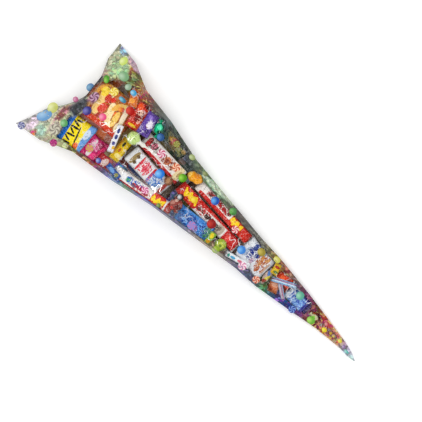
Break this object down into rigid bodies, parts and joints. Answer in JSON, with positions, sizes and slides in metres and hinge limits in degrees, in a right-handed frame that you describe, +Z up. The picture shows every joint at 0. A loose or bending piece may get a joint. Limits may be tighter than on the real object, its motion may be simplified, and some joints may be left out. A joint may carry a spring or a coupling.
{
  "type": "sweet filled cone bag",
  "caption": "Long clear film cone bag, tapered to a point and sealed flat at its mouth, lying on its back, filled with wrapped sweets, bars and small packets.",
  "frame": {"origin": "middle of the bag's length and width, on the ground under its flat back", "axes": "+Y from the tip to the sealed mouth, +X across the bag, +Z up from the ground"},
  "size_m": [0.262, 0.8216, 0.1022],
  "materials": {
    "popcorn_bag": "printed film wrapper",
    "hidden_wafer_bar": "printed film wrapper",
    "nougat_bar": "printed film wrapper",
    "biscuit_roll": "printed film wrapper",
    "peanut_bag": "printed film wrapper",
    "chew_bar_pack": "printed film wrapper",
    "toffee_left": "printed film wrapper",
    "toffee_right": "printed film wrapper",
    "liquorice_bar": "printed film wrapper",
    "fizz_sachet": "printed film wrapper",
    "marshmallow_bag": "printed film wrapper",
    "cracker_bag": "printed film wrapper",
    "raisin_bar": "printed film wrapper",
    "caramel_bar": "printed film wrapper",
    "sour_strip_bag": "printed film wrapper",
    "cola_chew": "printed film wrapper",
    "jelly_bean_bag": "printed film wrapper",
    "strawberry_milk_sachet": "printed film wrapper",
    "white_biscuit_bar": "printed film wrapper",
    "blue_wafer_bar": "printed film wrapper",
    "dark_liquorice_bag": "printed film wrapper",
    "coconut_wafer_bar": "printed film wrapper",
    "caramel_wafer_bar": "printed film wrapper",
    "blueberry_jelly_bag": "printed film wrapper",
    "orange_jelly_bear": "soft sugar sweet",
    "cocoa_truffle": "printed film wrapper",
    "snack_stick_bag": "printed film wrapper",
    "yellow_puff_bag": "printed film wrapper",
    "pink_gum_bag": "printed film wrapper",
    "red_gum_bag": "printed film wrapper",
    "red_jelly_sachet": "printed film wrapper",
    "blue_chew_stick": "printed film wrapper",
    "yellow_toffee_bar": "printed film wrapper",
    "white_stick_pack": "printed film wrapper",
    "purple_cream_bag": "printed film wrapper",
    "orange_snap_pack": "printed film wrapper",
    "green_foil_sweet": "coloured foil",
    "green_apple_lolly": "soft sugar sweet",
    "brown_toffee_cube": "printed film wrapper",
    "mini_fruit_chew": "printed film wrapper",
    "lime_jelly_dome": "soft sugar sweet",
    "white_mint_sachet": "printed film wrapper",
    "sherbet_stick": "printed film wrapper",
    "red_swirl_mint": "printed film wrapper",
    "lemon_chew": "printed film wrapper",
    "orange_drop_left": "printed film wrapper",
    "orange_drop_right": "printed film wrapper",
    "pale_blue_chew_pack": "printed film wrapper",
    "blue_sour_belt": "soft sugar sweet",
    "grey_sour_belt": "soft sugar sweet",
    "cherry_sweet": "printed film wrapper",
    "pale_lime_sweet": "printed film wrapper",
    "candy_stripe_sweet": "printed film wrapper",
    "caramel_drop": "soft sugar sweet",
    "rose_drop": "soft sugar sweet",
    "film_bag": "clear printed film"
  },
  "bodies": {
    "root": {"popcorn_bag": "popcorn_bag", "hidden_wafer_bar": "hidden_wafer_bar", "nougat_bar": "nougat_bar", "biscuit_roll": "biscuit_roll", "peanut_bag": "peanut_bag", "chew_bar_pack": "chew_bar_pack", "toffee_left": "toffee_left", "toffee_right": "toffee_right", "liquorice_bar": "liquorice_bar", "fizz_sachet": "fizz_sachet", "marshmallow_bag": "marshmallow_bag", "cracker_bag": "cracker_bag", "raisin_bar": "raisin_bar", "caramel_bar": "caramel_bar", "sour_strip_bag": "sour_strip_bag", "cola_chew": "cola_chew", "jelly_bean_bag": "jelly_bean_bag", "strawberry_milk_sachet": "strawberry_milk_sachet", "white_biscuit_bar": "white_biscuit_bar", "blue_wafer_bar": "blue_wafer_bar", "dark_liquorice_bag": "dark_liquorice_bag", "coconut_wafer_bar": "coconut_wafer_bar", "caramel_wafer_bar": "caramel_wafer_bar", "blueberry_jelly_bag": "blueberry_jelly_bag", "orange_jelly_bear": "orange_jelly_bear", "cocoa_truffle": "cocoa_truffle", "snack_stick_bag": "snack_stick_bag", "yellow_puff_bag": "yellow_puff_bag", "pink_gum_bag": "pink_gum_bag", "red_gum_bag": "red_gum_bag", "red_jelly_sachet": "red_jelly_sachet", "blue_chew_stick": "blue_chew_stick", "yellow_toffee_bar": "yellow_toffee_bar", "white_stick_pack": "white_stick_pack", "purple_cream_bag": "purple_cream_bag", "orange_snap_pack": "orange_snap_pack", "green_foil_sweet": "green_foil_sweet", "green_apple_lolly": "green_apple_lolly", "brown_toffee_cube": "brown_toffee_cube", "mini_fruit_chew": "mini_fruit_chew", "lime_jelly_dome": "lime_jelly_dome", "white_mint_sachet": "white_mint_sachet", "sherbet_stick": "sherbet_stick", "red_swirl_mint": "red_swirl_mint", "lemon_chew": "lemon_chew", "orange_drop_left": "orange_drop_left", "orange_drop_right": "orange_drop_right", "pale_blue_chew_pack": "pale_blue_chew_pack", "blue_sour_belt": "blue_sour_belt", "grey_sour_belt": "grey_sour_belt", "cherry_sweet": "cherry_sweet", "pale_lime_sweet": "pale_lime_sweet", "candy_stripe_sweet": "candy_stripe_sweet", "caramel_drop": "caramel_drop", "rose_drop": "rose_drop", "film_bag": "film_bag"}
  },
  "joints": []
}
